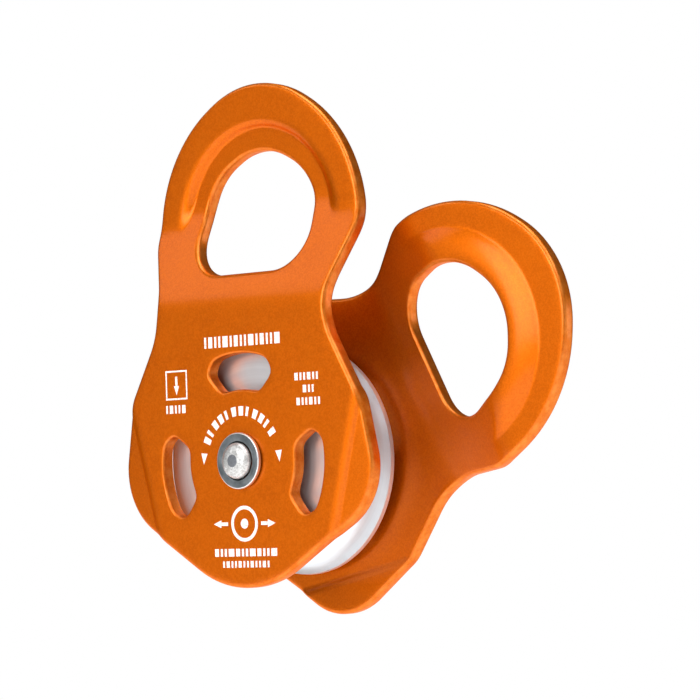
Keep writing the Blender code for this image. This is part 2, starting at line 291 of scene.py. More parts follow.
def slot_ring(degrees):
    """A window concentric with the axle: hollow inner side, arched outer side, blunt ends."""
    angle = math.radians(degrees)
    outer = arc(SLOT_OUTER_RADIUS, angle - SLOT_OUTER_HALF_ANGLE,
                angle + SLOT_OUTER_HALF_ANGLE, SLOT_OUTER_STEPS)
    inner = arc(SLOT_INNER_RADIUS, angle + SLOT_INNER_HALF_ANGLE,
                angle - SLOT_INNER_HALF_ANGLE, SLOT_INNER_STEPS)
    left, right = arc(SLOT_END_RADIUS, angle + SLOT_END_HALF_ANGLE,
                      angle - SLOT_END_HALF_ANGLE, 1)
    ring = resampled(outer + [left] + inner + [right], FINE_SPACING)
    ring = softened(ring, FINE_SPACING, SLOT_SOFTNESS)
    return resampled([tuple(p) for p in ring], LOOP_SPACING)


def side_normals(ring):
    """Unit normals to the left of a ring's direction of travel."""
    ahead = np.roll(ring, -1, axis=0) - np.roll(ring, 1, axis=0)
    ahead /= np.hypot(*ahead.T)[:, None]
    return np.column_stack([-ahead[:, 1], ahead[:, 0]])


def plate_rings():
    """Each edge of the plate as (ring, edge rounding), with the metal on the ring's left."""
    outline = resampled(rounded(both_sides(PLATE_CORNERS)), LOOP_SPACING)
    outline = outline + side_normals(outline) * OUTLINE_INSET
    eye = resampled(rounded(both_sides(EYE_HOLE_CORNERS)), LOOP_SPACING)
    bore = np.array(arc(BORE_RADIUS, 0.0, 2.0 * math.pi, BORE_STEPS)[:-1])
    rings = [(outline, EDGE_ROUND), (eye[::-1], EDGE_ROUND), (bore[::-1], BORE_EDGE_ROUND)]
    for degrees in SLOT_ANGLES:
        rings.append((slot_ring(degrees)[::-1], SLOT_EDGE_ROUND))
    return rings


# ---- the pressed sheet -------------------------------------------------------------------


def soft_min(a, b, width):
    """The smaller of two values, with the corner between them rounded."""
    blend = np.clip(0.5 + 0.5 * (b - a) / width, 0.0, 1.0)
    return b * (1.0 - blend) + a * blend - width * blend * (1.0 - blend)


def neck(v, depth):
    """How far the neck's two bends bring the sheet inwards, up to a depth."""
    rise = -soft_min(-NECK_SLOPE * (v - NECK_START), 0.0, NECK_LOW_BEND)
    return soft_min(rise, depth, NECK_HIGH_BEND)


def step_share(distance, width, outer):
    """0 to 1 across a pressed step, whose crease is at its end outside, its start inside."""
    share = np.clip(distance / width, 0.0, 1.0)
    if outer:
        return share ** OUTER_STEP_CURVE
    return 1.0 - (1.0 - share) ** INNER_STEP_CURVE


def face_offset(u, v, outer):
    """How far one face of the sheet is pressed inwards at a point."""
    start, end = RIM_OUTER_FACE if outer else RIM_INNER_FACE
    radius = np.hypot(u, v - EYE_HEIGHT)
    if outer:
        end = end + RIM_OUTER_RISE * np.clip((v - EYE_HEIGHT) / radius, 0.0, 1.0) ** 2
    rim = RIM_OFFSET * step_share(start - radius, start - end, outer)
    beyond = np.abs(u) - EAR_CREASE_X - EAR_CREASE_LEAN * v
    ramp = EAR_OUTER_RAMP if outer else EAR_INNER_RAMP
    ear = EAR_OFFSET * step_share(beyond + ramp, ramp, outer)
    ear = ear + EAR_SLOPE * np.maximum(beyond, 0.0)
    return neck(v, EYE_OFFSET + rim) + ear


def face_y(u, v, outer):
    """Where a face lies along Y; a leaning sheet is thicker that way."""
    small = 0.05
    slope = (neck(v + small, EYE_OFFSET) - neck(v - small, EYE_OFFSET)) / (2.0 * small)
    half = PLATE_THICKNESS / 2.0 * np.sqrt(1.0 + slope ** 2)
    middle = -(PLATE_INNER_Y + PLATE_THICKNESS / 2.0)
    return middle + (-half if outer else half) + face_offset(u, v, outer)


def sheet_point(u, v, share):
    """Points through the sheet: share 0 on its outer face and 1 on its inner one."""
    outer = face_y(u, v, True)
    inner = face_y(u, v, False)
    return np.column_stack([u, outer + (inner - outer) * share, v]) * MM


def inside(points, rings):
    """True for the points that an odd number of rings go round."""
    odd = np.zeros(len(points), bool)
    x, y = points[:, 0:1], points[:, 1:2]
    for ring in rings:
        after = np.roll(ring, -1, axis=0)
        crosses = (ring[:, 1] > y) != (after[:, 1] > y)
        rise = after[:, 1] - ring[:, 1]
        rise = np.where(np.abs(rise) < 1e-12, 1e-12, rise)
        at = ring[:, 0] + (y - ring[:, 1]) / rise * (after[:, 0] - ring[:, 0])
        odd ^= (np.sum(crosses & (x < at), axis=1) % 2).astype(bool)
    return odd


def clear_of(points, others, distance):
    """The points that lie further than a distance from all the others."""
    kept = []
    for chunk in np.array_split(points, max(1, len(points) // 500)):
        gaps = np.hypot(chunk[:, None, 0] - others[None, :, 0],
                        chunk[:, None, 1] - others[None, :, 1]).min(axis=1)
        kept.append(chunk[gaps > distance])
    return np.concatenate(kept)


def feature_points():
    """Rows of points that follow the rim's step and the ears' creases."""
    points = []
    rim_radii = RIM_OUTER_FACE + RIM_INNER_FACE
    for radius in np.arange(min(rim_radii) - RIM_ROW_REACH[0],
                            max(rim_radii) + RIM_ROW_REACH[1], RIM_ROW_SPACING):
        count = int(2.0 * math.pi * radius / RIM_POINT_SPACING)
        for k in range(count):
            angle = 2.0 * math.pi * k / count
            points.append((radius * math.cos(angle), EYE_HEIGHT + radius * math.sin(angle)))
    for beyond in EAR_ROWS:
        for v in np.arange(*EAR_ROW_HEIGHTS, EAR_POINT_SPACING):
            u = EAR_CREASE_X + EAR_CREASE_LEAN * v + beyond
            points.append((u, v))
            points.append((-u, v))
    return np.array(points)


def grid_points():
    """A staggered grid over the whole plate."""
    rows = []
    for index, v in enumerate(np.arange(*SHEET_HEIGHTS, SHEET_SPACING * SHEET_ROW_SHARE)):
        u = np.arange(-SHEET_HALF_WIDTH, SHEET_HALF_WIDTH, SHEET_SPACING)
        u = u + (index % 2) * SHEET_SPACING / 2.0
        rows.append(np.column_stack([u, np.full(len(u), v)]))
    return np.concatenate(rows)


def flat_points(insets):
    """The flat points of a plate's face, those of its edges first."""
    edge = np.concatenate(insets)
    features = feature_points()
    features = features[inside(features, insets)]
    features = clear_of(features, edge, FEATURE_GAP)
    grid = grid_points()
    grid = grid[inside(grid, insets)]
    grid = clear_of(grid, edge, SHEET_GAP)
    grid = clear_of(grid, features, SHEET_GAP)
    return np.concatenate([edge, features, grid])


def sheet_triangles(flat, insets):
    """The face's triangles, all anticlockwise, with every edge ring kept."""
    constraints = []
    start = 0
    for ring in insets:
        count = len(ring)
        constraints += [(start + k, start + (k + 1) % count) for k in range(count)]
        start += count
    made = delaunay_2d_cdt([Vector(p) for p in flat], constraints, [], 0, 1e-7)
    source = [origin[0] for origin in made[3]]
    triangles = np.array([[source[i] for i in face] for face in made[2]])
    triangles = triangles[inside(flat[triangles].mean(axis=1), insets)]
    a, b, c = (flat[triangles[:, k]] for k in range(3))
    area = (b[:, 0] - a[:, 0]) * (c[:, 1] - a[:, 1]) - (b[:, 1] - a[:, 1]) * (c[:, 0] - a[:, 0])
    triangles[area < 0.0] = triangles[area < 0.0][:, ::-1]
    return triangles[np.abs(area) > 1e-6]     # none along a straight run of edge points


def edge_levels(rounding):
    """From the outer face to the inner: share of the rounding inset, share of the sheet."""
    turns = [math.pi / 2.0 * k / EDGE_STEPS for k in range(1, EDGE_STEPS + 1)]
    levels = [(1.0 - math.sin(a), (1.0 - math.cos(a)) * rounding / PLATE_THICKNESS)
              for a in turns]
    return levels + [(inset, 1.0 - depth) for inset, depth in reversed(levels)]


def plate_mesh(name):
    """One closed pressed plate: two faces of one triangulation, joined by rounded edges."""
    rings = plate_rings()
    insets = [ring + side_normals(ring) * rounding for ring, rounding in rings]
    flat = flat_points(insets)
    triangles = sheet_triangles(flat, insets)
    count = len(flat)
    points = [sheet_point(flat[:, 0], flat[:, 1], share) for share in (0.0, 1.0)]
    # Per point: 0 on the faces, rising over the rounded edges; drives the rubbed wear and the
    # painted edge highlight.
    worn_and_highlit = [np.zeros(2 * count)]
    faces = [tuple(t) for t in triangles] + [tuple(t[::-1] + count) for t in triangles]
    total = 2 * count
    start = 0
    for ring, rounding in rings:
        size = len(ring)
        normals = side_normals(ring)
        rows = [np.arange(start, start + size)]
        for inset, depth in edge_levels(rounding):
            place = ring + normals * rounding * inset
            points.append(sheet_point(place[:, 0], place[:, 1], depth))
            worn_and_highlit.append(np.full(size, 1.0 - inset))
            rows.append(np.arange(total, total + size))
            total += size
        rows.append(np.arange(start, start + size) + count)
        for low, high in zip(rows, rows[1:]):
            faces += list(zip(low, high, np.roll(high, -1), np.roll(low, -1)))
        start += size
    mesh = bpy.data.meshes.new(name)
    mesh.from_pydata(np.concatenate(points).tolist(), [], [[int(i) for i in f] for f in faces])
    finished(mesh)
    wear_and_highlight = mesh.attributes.new(EDGE_WEAR_AND_HIGHLIGHT_ATTRIBUTE, "FLOAT", "POINT")
    wear_and_highlight.data.foreach_set("value", np.concatenate(worn_and_highlit).astype(np.float32))
    return mesh


def finished(mesh, sharp_degrees=180.0):
    """Outward normals and smooth shading, with edges sharper than the angle kept crisp."""
    shaped = bmesh.new()
    shaped.from_mesh(mesh)
    bmesh.ops.recalc_face_normals(shaped, faces=shaped.faces)
    shaped.to_mesh(mesh)
    shaped.free()
    mesh.shade_smooth()
    if sharp_degrees < 180.0:
        mesh.set_sharp_from_angle(angle=math.radians(sharp_degrees))


def placed(name, mesh, body, node, material, turn=(0.0, 0.0, 0.0)):
    """Puts a piece on the axle, on its body, and for its CAD node if it has one."""
    mesh.transform(Euler(turn).to_matrix().to_4x4())
    piece = bpy.data.objects.new(name, mesh)
    piece.location = AXLE
    mesh.materials.append(material)
    bpy.context.scene.collection.objects.link(piece)
    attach(piece, body)
    if node:
        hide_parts(node)


# ---- turned pieces -----------------------------------------------------------------------


def turned(name, profile, steps):
    """A closed mesh of revolution about Y; the profile is (radius, distance along Y)."""
    profile = np.array(profile, float)
    count = len(profile)
    angles = 2.0 * math.pi * np.arange(steps) / steps
    points = np.empty((steps, count, 3))
    points[:, :, 0] = np.cos(angles)[:, None] * profile[None, :, 0]
    points[:, :, 1] = profile[None, :, 1]
    points[:, :, 2] = np.sin(angles)[:, None] * profile[None, :, 0]
    faces = []
    for i in range(steps):
        j = (i + 1) % steps
        for k in range(count):
            after = (k + 1) % count
            faces.append((i * count + k, i * count + after, j * count + after, j * count + k))
    mesh = bpy.data.meshes.new(name)
    mesh.from_pydata((points.reshape(-1, 3) * MM).tolist(), [], faces)
    if profile[:, 0].min() < 1e-6:
        shaped = bmesh.new()
        shaped.from_mesh(mesh)
        bmesh.ops.remove_doubles(shaped, verts=shaped.verts, dist=1e-7)
        bmesh.ops.dissolve_degenerate(shaped, edges=shaped.edges, dist=1e-7)
        shaped.to_mesh(mesh)
        shaped.free()
    finished(mesh, CRISP_DEGREES)
    return mesh


def node_span(node):
    """A turned CAD node's outer radius and its two ends along Y, in millimetres."""
    low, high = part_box(node)
    return (high.z - low.z) / 2.0 / MM, low.y / MM, high.y / MM


def side_span(node):
    """A node to one side of the sheave: radius, which side, its inner and outer ends."""
    radius, low, high = node_span(node)
    side = 1.0 if high > 0.0 else -1.0
    inner_end, outer_end = sorted((abs(low), abs(high)))
    return radius, side, inner_end, outer_end


def ring_piece(name, corners, side=1.0, step=CORNER):
    """A small turned piece; its corners are (radius, distance along Y, rounding)."""
    profile = rounded([(r, side * y, rounding) for r, y, rounding in corners], step)
    return turned(name, profile, RING_STEPS)


def eased_ring(name, node, bore, ease):
    """A ring the size of a CAD node, with eased edges."""
    radius, low, high = node_span(node)
    return ring_piece(name, [(bore, low, ease), (radius, low, ease),
                             (radius, high, ease), (bore, high, ease)])


def sheave_mesh():
    """Grooved wheel with flat sides, eased rim edges and a recess for each bush flange."""
    radius, _, high = node_span("sheave")
    lip_y = math.sqrt(GROOVE_RADIUS ** 2 - (radius - GROOVE_CENTRE) ** 2)
    start = math.atan2(lip_y, radius - GROOVE_CENTRE) + 0.02
    groove = []
    for angle in np.linspace(start, 2.0 * math.pi - start, GROOVE_STEPS + 1):
        groove.append((GROOVE_CENTRE + GROOVE_RADIUS * math.cos(angle),
                       GROOVE_RADIUS * math.sin(angle), 0.0))
    chamfer_width, chamfer_height = SHEAVE_RIM_CHAMFER
    half = [
        (SHEAVE_BORE, SHEAVE_HUB_Y, 0.15),
        (SHEAVE_HUB_RADIUS, SHEAVE_HUB_Y, 0.12),
        (SHEAVE_HUB_RADIUS + SHEAVE_HUB_SLOPE, high, 0.2),
        (radius - chamfer_width, high, 0.08),
        (radius, high - chamfer_height, 0.05),
    ]
    corners = half + groove + [(r, -y, ease) for r, y, ease in reversed(half)]
    return turned("sheave_wheel", rounded(corners, CORNER), WHEEL_STEPS)


def bush_mesh(name, node):
    """Flanged bush; its barrel reaches from the flange to the middle of the sheave."""
    radius, side, inner_end, outer_end = side_span(node)
    under_flange = outer_end - BUSH_FLANGE
    barrel = SHEAVE_BORE - BUSH_PLAY
    return ring_piece(name, [
        (BEARING_BORE, outer_end, 0.15), (radius, outer_end, 0.15),
        (radius, under_flange, 0.1), (barrel, under_flange, 0.05),
        (barrel, inner_end, 0.15), (BEARING_BORE, inner_end, 0.15),
    ], side)


def washer_mesh(name, node):
    """Washer under a riveted end: rounded outer edge and a countersunk bore."""
    radius, side, inner_end, outer_end = side_span(node)
    return ring_piece(name, [
        (BORE_RADIUS, inner_end, 0.05), (radius, inner_end, 0.15),
        (radius, outer_end, 0.2), (WASHER_BORE, outer_end, 0.1),
    ], side, FINE_CORNER)


def pin_mesh():
    """Pin with both ends upset into hammered domes, each with a small flat tip."""
    _, _, end = node_span("axle_pin")
    flare_y = end - PIN_DOME_HEIGHT
    dome = []
    for k in range(DOME_STEPS + 1):
        angle = math.pi / 2.0 * k / DOME_STEPS
        dome.append((PIN_TIP_RADIUS + (PIN_HEAD_RADIUS - PIN_TIP_RADIUS) * math.sin(angle),
                     flare_y + (end - flare_y) * math.cos(angle) ** PIN_DOME_FULLNESS))
    tip = [(radius, end - PIN_TIP_DEPTH) for radius in (0.0, 0.5, 1.0)]
    flare = PIN_HEAD_RADIUS - PIN_RADIUS
    shaft = [(PIN_RADIUS, y) for y in (flare_y - flare, flare_y - 2.0, SHAFT_ROW_Y)]
    half = tip + dome + shaft
    profile = half + [(PIN_RADIUS, 0.0)] + [(r, -y) for r, y in reversed(half)]
    mesh = turned("riveted_pin", profile, RING_STEPS)
    for vertex in mesh.vertices:
        place = vertex.co / MM
        radius = math.hypot(place.x, place.z)
        if abs(place.y) > flare_y - 0.1 and PIN_TIP_RADIUS * 0.95 < radius:
            dent = sum(noise.noise(place * rate) * depth for rate, depth in PIN_DENTS)
            rim = min(1.0, (PIN_HEAD_RADIUS + 0.05 - radius) / DENT_FADE)
            vertex.co.y -= math.copysign(max(dent + DENT_BIAS, 0.0) * rim * MM, place.y)
    return mesh


# ---- printed marks -----------------------------------------------------------------------


def block(u, v, width, height):
    """A printed rectangle about a point."""
    return [(u - width / 2.0, v - height / 2.0), (u + width / 2.0, v - height / 2.0),
            (u + width / 2.0, v + height / 2.0), (u - width / 2.0, v + height / 2.0)]


def bar_row(left, right, v, height, widths, gap):
    """Printed blocks of the given widths over and over, from left to right."""
    shapes = []
    u = left
    for width in itertools.cycle(widths):
        if u + width > right + 1e-6:
            return shapes
        shapes.append(block(u + width / 2.0, v, width, height))
        u += width + gap


def arc_band(radius, width, start, end):
    """A printed piece of ring about the axle; angles in degrees."""
    steps = 4
    outer = arc(radius + width / 2.0, math.radians(start), math.radians(end), steps)
    inner = arc(radius - width / 2.0, math.radians(end), math.radians(start), steps)
    return outer + inner


def disc(u, v, radius):
    """A printed round dot."""
    steps = 32
    return [(u + x, v + z) for x, z in arc(radius, 0.0, 2.0 * math.pi, steps)[:-1]]


def arrow_head(u, v, degrees, size):
    """A printed triangle that points the given way."""
    corners = []
    for turn, reach in ((0.0, 1.0), (135.0, 0.85), (225.0, 0.85)):
        angle = math.radians(degrees + turn)
        corners.append((u + size * reach * math.cos(angle), v + size * reach * math.sin(angle)))
    return corners


def box_mark():
    """A square outline round an arrow that points down."""
    u, v = BOX_MARK
    shapes = []
    for side in (-1.0, 1.0):
        reach = side * BOX_MARK_SIZE / 2.0
        shapes.append(block(u + reach, v, BOX_MARK_LINE, BOX_MARK_SIZE + BOX_MARK_LINE))
        shapes.append(block(u, v + reach, BOX_MARK_SIZE - BOX_MARK_LINE, BOX_MARK_LINE))
    shapes.append(block(u, v + 0.7, 0.5, 1.6))
    shapes.append(arrow_head(u, v - 0.75, -90.0, 1.0))
    return shapes


def arc_mark():
    """Short marks on an arc over the pin, with an arrow head below each end."""
    shapes = []
    for index, start in enumerate(ARC_MARK_ANGLES):
        sweep = 4 if index % 3 == 1 else 7
        shapes.append(arc_band(ARC_MARK_RADIUS, ARC_MARK_WIDTH, start, start - sweep))
    u, v = ARC_ARROW
    for side in (-1.0, 1.0):
        shapes.append(arrow_head(side * u, v, -90.0 + side * 5.0, 1.2))
    return shapes


def wheel_mark():
    """The wheel pictogram's middle dot, and an arrow out to each side of its ring."""
    u, v = WHEEL_MARK
    shapes = [disc(u, v, 0.85)]
    for side in (-1.0, 1.0):
        shapes.append(block(u + side * WHEEL_ARROW_SHAFT, v, 1.6, 0.6))
        shapes.append(arrow_head(u + side * WHEEL_ARROW_HEAD, v, 90.0 - side * 90.0, 1.1))
    return shapes


def mark_shapes():
    """Plain printed marks: rows of bars, direction arrows and a small wheel pictogram."""
    shapes = bar_row(-7.8, 10.0, 20.5, 1.9, (0.45, 0.9, 0.45, 0.45, 1.2), 0.5)
    shapes += box_mark()
    shapes += bar_row(BOX_MARK[0] - 2.6, BOX_MARK[0] + 2.6, 9.4, 1.4, (0.4, 0.8, 0.4), 0.45)
    for v, left, right in ((13.7, 12.6, 18.9), (11.6, 14.4, 17.4), (9.5, 12.9, 18.9)):
        shapes += bar_row(left, right, v, 1.25, (0.75, 0.4, 0.4), 0.42)
    shapes += arc_mark()
    shapes += wheel_mark()
    shapes += bar_row(-6.7, 7.7, -15.6, 1.3, (0.9, 0.5, 0.5, 1.3), 0.42)
    shapes += bar_row(-4.9, 5.9, -17.6, 1.1, (0.4, 0.7, 0.4), 0.42)
    return shapes


def marks_mesh(name):
    """Each mark as a thin closed film on the front plate's outer face."""
    face = -(PLATE_INNER_Y + PLATE_THICKNESS)
    low, high = face - FILM, face + FILM
    bore, rim = WHEEL_MARK_RING
    ring = turned("ring_mark", [(bore, low), (rim, low), (rim, high), (bore, high)],
                  WHEEL_MARK_STEPS)
    ring.transform(Matrix.Translation((WHEEL_MARK[0] * MM, 0.0, WHEEL_MARK[1] * MM)))
    films = bmesh.new()
    films.from_mesh(ring)
    bpy.data.meshes.remove(ring)
    for shape in mark_shapes():
        rows = []
        for y in (low, high):
            rows.append([films.verts.new((u * MM, y * MM, v * MM)) for u, v in shape])
        films.faces.new(rows[0])
        films.faces.new(rows[1][::-1])
        count = len(shape)
        for k in range(count):
            after = (k + 1) % count
            films.faces.new((rows[0][k], rows[1][k], rows[1][after], rows[0][after]))
    bmesh.ops.recalc_face_normals(films, faces=films.faces)
    mesh = bpy.data.meshes.new(name)
    films.to_mesh(mesh)
    films.free()
    return mesh


# ---- materials ---------------------------------------------------------------------------


class Shader:
    """A material under construction: its node tree and its Principled shader."""

    def __init__(self, name):
        self.material = bpy.data.materials.new(name)
        self.material.use_nodes = True
        self.tree = self.material.node_tree
        self.surface = self.tree.nodes["Principled BSDF"]
        self.place = self.node("ShaderNodeTexCoord").outputs["Object"]

    def node(self, kind, **settings):
        """A new shader node with the given settings."""
        made = self.tree.nodes.new(kind)
        for key, value in settings.items():
            setattr(made, key, value)
        return made

    def put(self, socket, source):
        """Links a source socket, or sets a plain value."""
        if isinstance(source, bpy.types.NodeSocket):
            self.tree.links.new(source, socket)
        else:
            socket.default_value = source

    def noise(self, size_mm, detail=2.0, roughness=0.5, place=None):
        """A noise whose patches are about the given size."""
        made = self.node("ShaderNodeTexNoise")
        made.inputs["Scale"].default_value = 1.0 / (size_mm * MM)
        made.inputs["Detail"].default_value = detail
        made.inputs["Roughness"].default_value = roughness
        self.put(made.inputs["Vector"], place or self.place)
        return made.outputs["Fac"]

    def math(self, operation, a, b=0.0):
        """The result of a Math node."""
        made = self.node("ShaderNodeMath", operation=operation)
        for socket, source in zip(made.inputs, (a, b)):
            self.put(socket, source)
        return made.outputs[0]

    def ramp(self, source, low, high, to_low, to_high):
        """Maps a range to another one, clamped."""
        made = self.node("ShaderNodeMapRange")
        for name, value in (("Value", source), ("From Min", low), ("From Max", high),
                            ("To Min", to_low), ("To Max", to_high)):
            self.put(made.inputs[name], value)
        return made.outputs["Result"]

    def mix(self, share, first, second):
        """Mixes two colours."""
        made = self.node("ShaderNodeMix", data_type="RGBA")
        self.put(made.inputs["Factor"], share)
        for name, colour in (("A", first), ("B", second)):
            socket = [s for s in made.inputs if s.name == name and s.type == "RGBA"][0]
            self.put(socket, colour if isinstance(colour, bpy.types.NodeSocket)
                     else (*colour, 1.0))
        return [s for s in made.outputs if s.type == "RGBA"][0]

    def bump(self, layers):
        """Chains (height, strength, depth in mm) layers into the surface's normal."""
        normal = None
        for height, strength, depth_mm in layers:
            made = self.node("ShaderNodeBump")
            made.inputs["Strength"].default_value = strength
            made.inputs["Distance"].default_value = depth_mm * MM
            self.put(made.inputs["Height"], height)
            if normal is not None:
                self.put(made.inputs["Normal"], normal)
            normal = made.outputs["Normal"]
        self.put(self.surface.inputs["Normal"], normal)

    def axis_distance(self):
        """Distance from the piece's own Y axis and distance along it, in metres."""
        split = self.node("ShaderNodeSeparateXYZ")
        self.put(split.inputs[0], self.place)
        square = self.math("ADD", self.math("MULTIPLY", split.outputs["X"], split.outputs["X"]),
                           self.math("MULTIPLY", split.outputs["Z"], split.outputs["Z"]))
        return self.math("SQRT", square), split.outputs["Y"]

    def lathe_lines(self, size_mm):
        """Noise that runs in rings about the axle, as a turning tool leaves it."""
        radius, along = self.axis_distance()
        joined = self.node("ShaderNodeCombineXYZ")
        self.put(joined.inputs["X"], radius)
        self.put(joined.inputs["Y"], along)
        return self.noise(size_mm, 2.0, 0.6, joined.outputs[0])


def orange_anodised():
    """Matt blasted aluminium under a clear orange anodic film; its edges are lightened gold,
    partly rubbed wear and partly a painted highlight.
    """
    s = Shader("orange_anodised")
    grain = s.noise(0.16, 2.0, 0.6)
    cloud = s.noise(9.0, 3.0, 0.5)
    fleck = s.noise(0.32, 3.0, 0.7)
    wear_and_highlight = s.node("ShaderNodeAttribute", attribute_name=EDGE_WEAR_AND_HIGHLIGHT_ATTRIBUTE).outputs["Fac"]
    body = s.mix(s.ramp(cloud, 0.3, 0.7, 0.0, 1.0), (0.605, 0.106, 0.0), (0.655, 0.121, 0.0))
    body = s.mix(s.ramp(fleck, 0.40, 0.60, 0.0, 0.75), body, (0.74, 0.155, 0.004))
    # Edges mixed towards pale gold: partly rubbed wear, partly a painted highlight along the
    # rounded edges.
    rubbed_and_highlit = s.math("MULTIPLY", s.ramp(wear_and_highlight, 0.05, 0.6, 0.0, 0.35),
                    s.ramp(s.noise(1.6, 4.0, 0.6), 0.35, 0.65, 0.2, 1.0))
    body = s.mix(rubbed_and_highlit, body, (0.97, 0.40, 0.09))
    s.put(s.surface.inputs["Base Color"], body)
    s.put(s.surface.inputs["Metallic"], 0.8)
    s.put(s.surface.inputs["Roughness"], s.ramp(s.noise(0.9, 3.0, 0.6), 0.3, 0.7, 0.38, 0.46))
    s.put(s.surface.inputs["Specular IOR Level"], 0.0)
    s.put(s.surface.inputs["Specular Tint"], (1.0, 0.45, 0.12, 1.0))
    s.put(s.surface.inputs["Coat Weight"], 0.25)
    s.put(s.surface.inputs["Coat Roughness"], 0.18)
    s.bump([(grain, 0.32, 0.02), (s.noise(1.3, 3.0, 0.5), 0.10, 0.02)])
    return s.material


def turned_aluminium():
    """Bright turned aluminium with fine tool rings and a few rope scuffs."""
    s = Shader("turned_aluminium")
    rings = s.lathe_lines(0.16)
    broad = s.lathe_lines(1.1)
    cloud = s.noise(3.5, 4.0, 0.6)
    colour = s.mix(s.ramp(broad, 0.3, 0.7, 0.0, 1.0), (0.74, 0.77, 0.80), (0.84, 0.87, 0.895))
    colour = s.mix(s.ramp(cloud, 0.45, 0.75, 0.0, 0.25), colour, (0.71, 0.70, 0.70))
    s.put(s.surface.inputs["Base Color"], colour)
    s.put(s.surface.inputs["Metallic"], 0.7)
    s.put(s.surface.inputs["Roughness"], s.ramp(rings, 0.3, 0.7, 0.28, 0.36))
    s.bump([(rings, 0.03, 0.01), (s.noise(0.5, 3.0, 0.6), 0.03, 0.01)])
    return s.material


def hammered_steel():
    """Bright steel, upset cold: small facets, darker pits, and a flat tip painted dark as a
    painted reflection.
    """
    s = Shader("hammered_steel")
    facets = s.node("ShaderNodeTexVoronoi")
    facets.inputs["Scale"].default_value = 1.0 / (0.42 * MM)
    s.put(facets.inputs["Vector"], s.place)
    pits = s.noise(0.3, 3.0, 0.7)
    colour = s.mix(s.ramp(pits, 0.35, 0.62, 0.0, 1.0), (0.44, 0.43, 0.42), (0.76, 0.76, 0.75))
    radius, _ = s.axis_distance()
    # Painted reflection: the flat tip is coloured dark grey, as the dark surroundings it mirrors
    # would show.
    tip = s.ramp(radius, (PIN_TIP_RADIUS - 0.13) * MM, (PIN_TIP_RADIUS - 0.03) * MM, 1.0, 0.0)
    colour = s.mix(tip, colour, s.mix(pits, (0.14, 0.15, 0.17), (0.30, 0.31, 0.33)))
    s.put(s.surface.inputs["Base Color"], colour)
    s.put(s.surface.inputs["Metallic"], 1.0)
    s.put(s.surface.inputs["Roughness"], s.ramp(pits, 0.3, 0.7, 0.55, 0.42))
    s.bump([(facets.outputs["Distance"], 0.2, 0.05), (pits, 0.25, 0.03)])
    return s.material


def zinc_plated():
    """Blue-grey passivated zinc, slightly clouded, with a painted highlight round its rim."""
    s = Shader("zinc_plated")
    radius, _ = s.axis_distance()
    outer_radius = node_span("front_head_washer")[0] * MM
    # Painted highlight: a thin pale ring just inside the outer edge, where the rounded rim
    # catches the light.
    rim = s.ramp(radius, outer_radius - 0.24 * MM, outer_radius - 0.14 * MM, 0.0, 0.85)
    cloud = s.noise(1.8, 4.0, 0.6)
    lines = s.lathe_lines(0.12)
    colour = s.mix(s.ramp(cloud, 0.35, 0.65, 0.0, 1.0), (0.16, 0.185, 0.20), (0.26, 0.285, 0.30))
    colour = s.mix(rim, colour, (0.88, 0.87, 0.86))
    s.put(s.surface.inputs["Base Color"], colour)
    s.put(s.surface.inputs["Metallic"], 1.0)
    s.put(s.surface.inputs["Roughness"], s.ramp(cloud, 0.3, 0.7, 0.34, 0.46))
    s.bump([(lines, 0.10, 0.01), (s.noise(0.25, 2.0, 0.6), 0.10, 0.01)])
    return s.material


def ground_steel():
    """The hardened sleeve that the bushes run on."""
    s = Shader("ground_steel")
    lines = s.lathe_lines(0.1)
    colour = s.mix(s.ramp(s.noise(2.5, 3.0, 0.5), 0.3, 0.7, 0.0, 1.0),
                   (0.46, 0.47, 0.48), (0.58, 0.58, 0.59))
    s.put(s.surface.inputs["Base Color"], colour)
    s.put(s.surface.inputs["Metallic"], 1.0)
    s.put(s.surface.inputs["Roughness"], s.ramp(lines, 0.3, 0.7, 0.20, 0.32))
    s.bump([(lines, 0.08, 0.01)])
    return s.material


def sintered_bronze():
    """Oil-filled bronze with open pores."""
    s = Shader("sintered_bronze")
    pores = s.noise(0.14, 3.0, 0.7)
    colour = s.mix(s.ramp(pores, 0.35, 0.55, 0.0, 1.0), (0.20, 0.125, 0.06), (0.50, 0.33, 0.15))
    s.put(s.surface.inputs["Base Color"], colour)
    s.put(s.surface.inputs["Metallic"], 1.0)
    s.put(s.surface.inputs["Roughness"], s.ramp(pores, 0.3, 0.7, 0.62, 0.40))
    s.bump([(pores, 0.3, 0.02)])
    return s.material


def ivory_nylon():
    """Slightly translucent off-white plastic with a moulded grain."""
    s = Shader("ivory_nylon")
    cloud = s.noise(2.0, 3.0, 0.5)
    colour = s.mix(s.ramp(cloud, 0.3, 0.7, 0.0, 1.0), (0.70, 0.69, 0.62), (0.80, 0.79, 0.73))
    s.put(s.surface.inputs["Base Color"], colour)
    s.put(s.surface.inputs["Roughness"], s.ramp(cloud, 0.3, 0.7, 0.42, 0.55))
    s.put(s.surface.inputs["Subsurface Weight"], 0.15)
    s.put(s.surface.inputs["Subsurface Scale"], 0.0008)
    s.bump([(s.noise(0.2, 2.0, 0.6), 0.12, 0.02)])
    return s.material


def printed_white():
    """Thin white marking; the plate's orange and its grain show through where it is thin."""
    s = Shader("printed_white")
    patchy = s.noise(0.35, 3.0, 0.65)
    colour = s.mix(s.ramp(patchy, 0.30, 0.48, 0.0, 1.0), (0.72, 0.50, 0.36), (0.90, 0.885, 0.86))
    s.put(s.surface.inputs["Base Color"], colour)
    s.put(s.surface.inputs["Roughness"], s.ramp(patchy, 0.3, 0.7, 0.62, 0.48))
    s.bump([(s.noise(0.16, 2.0, 0.6), 0.15, 0.02)])
    return s.material


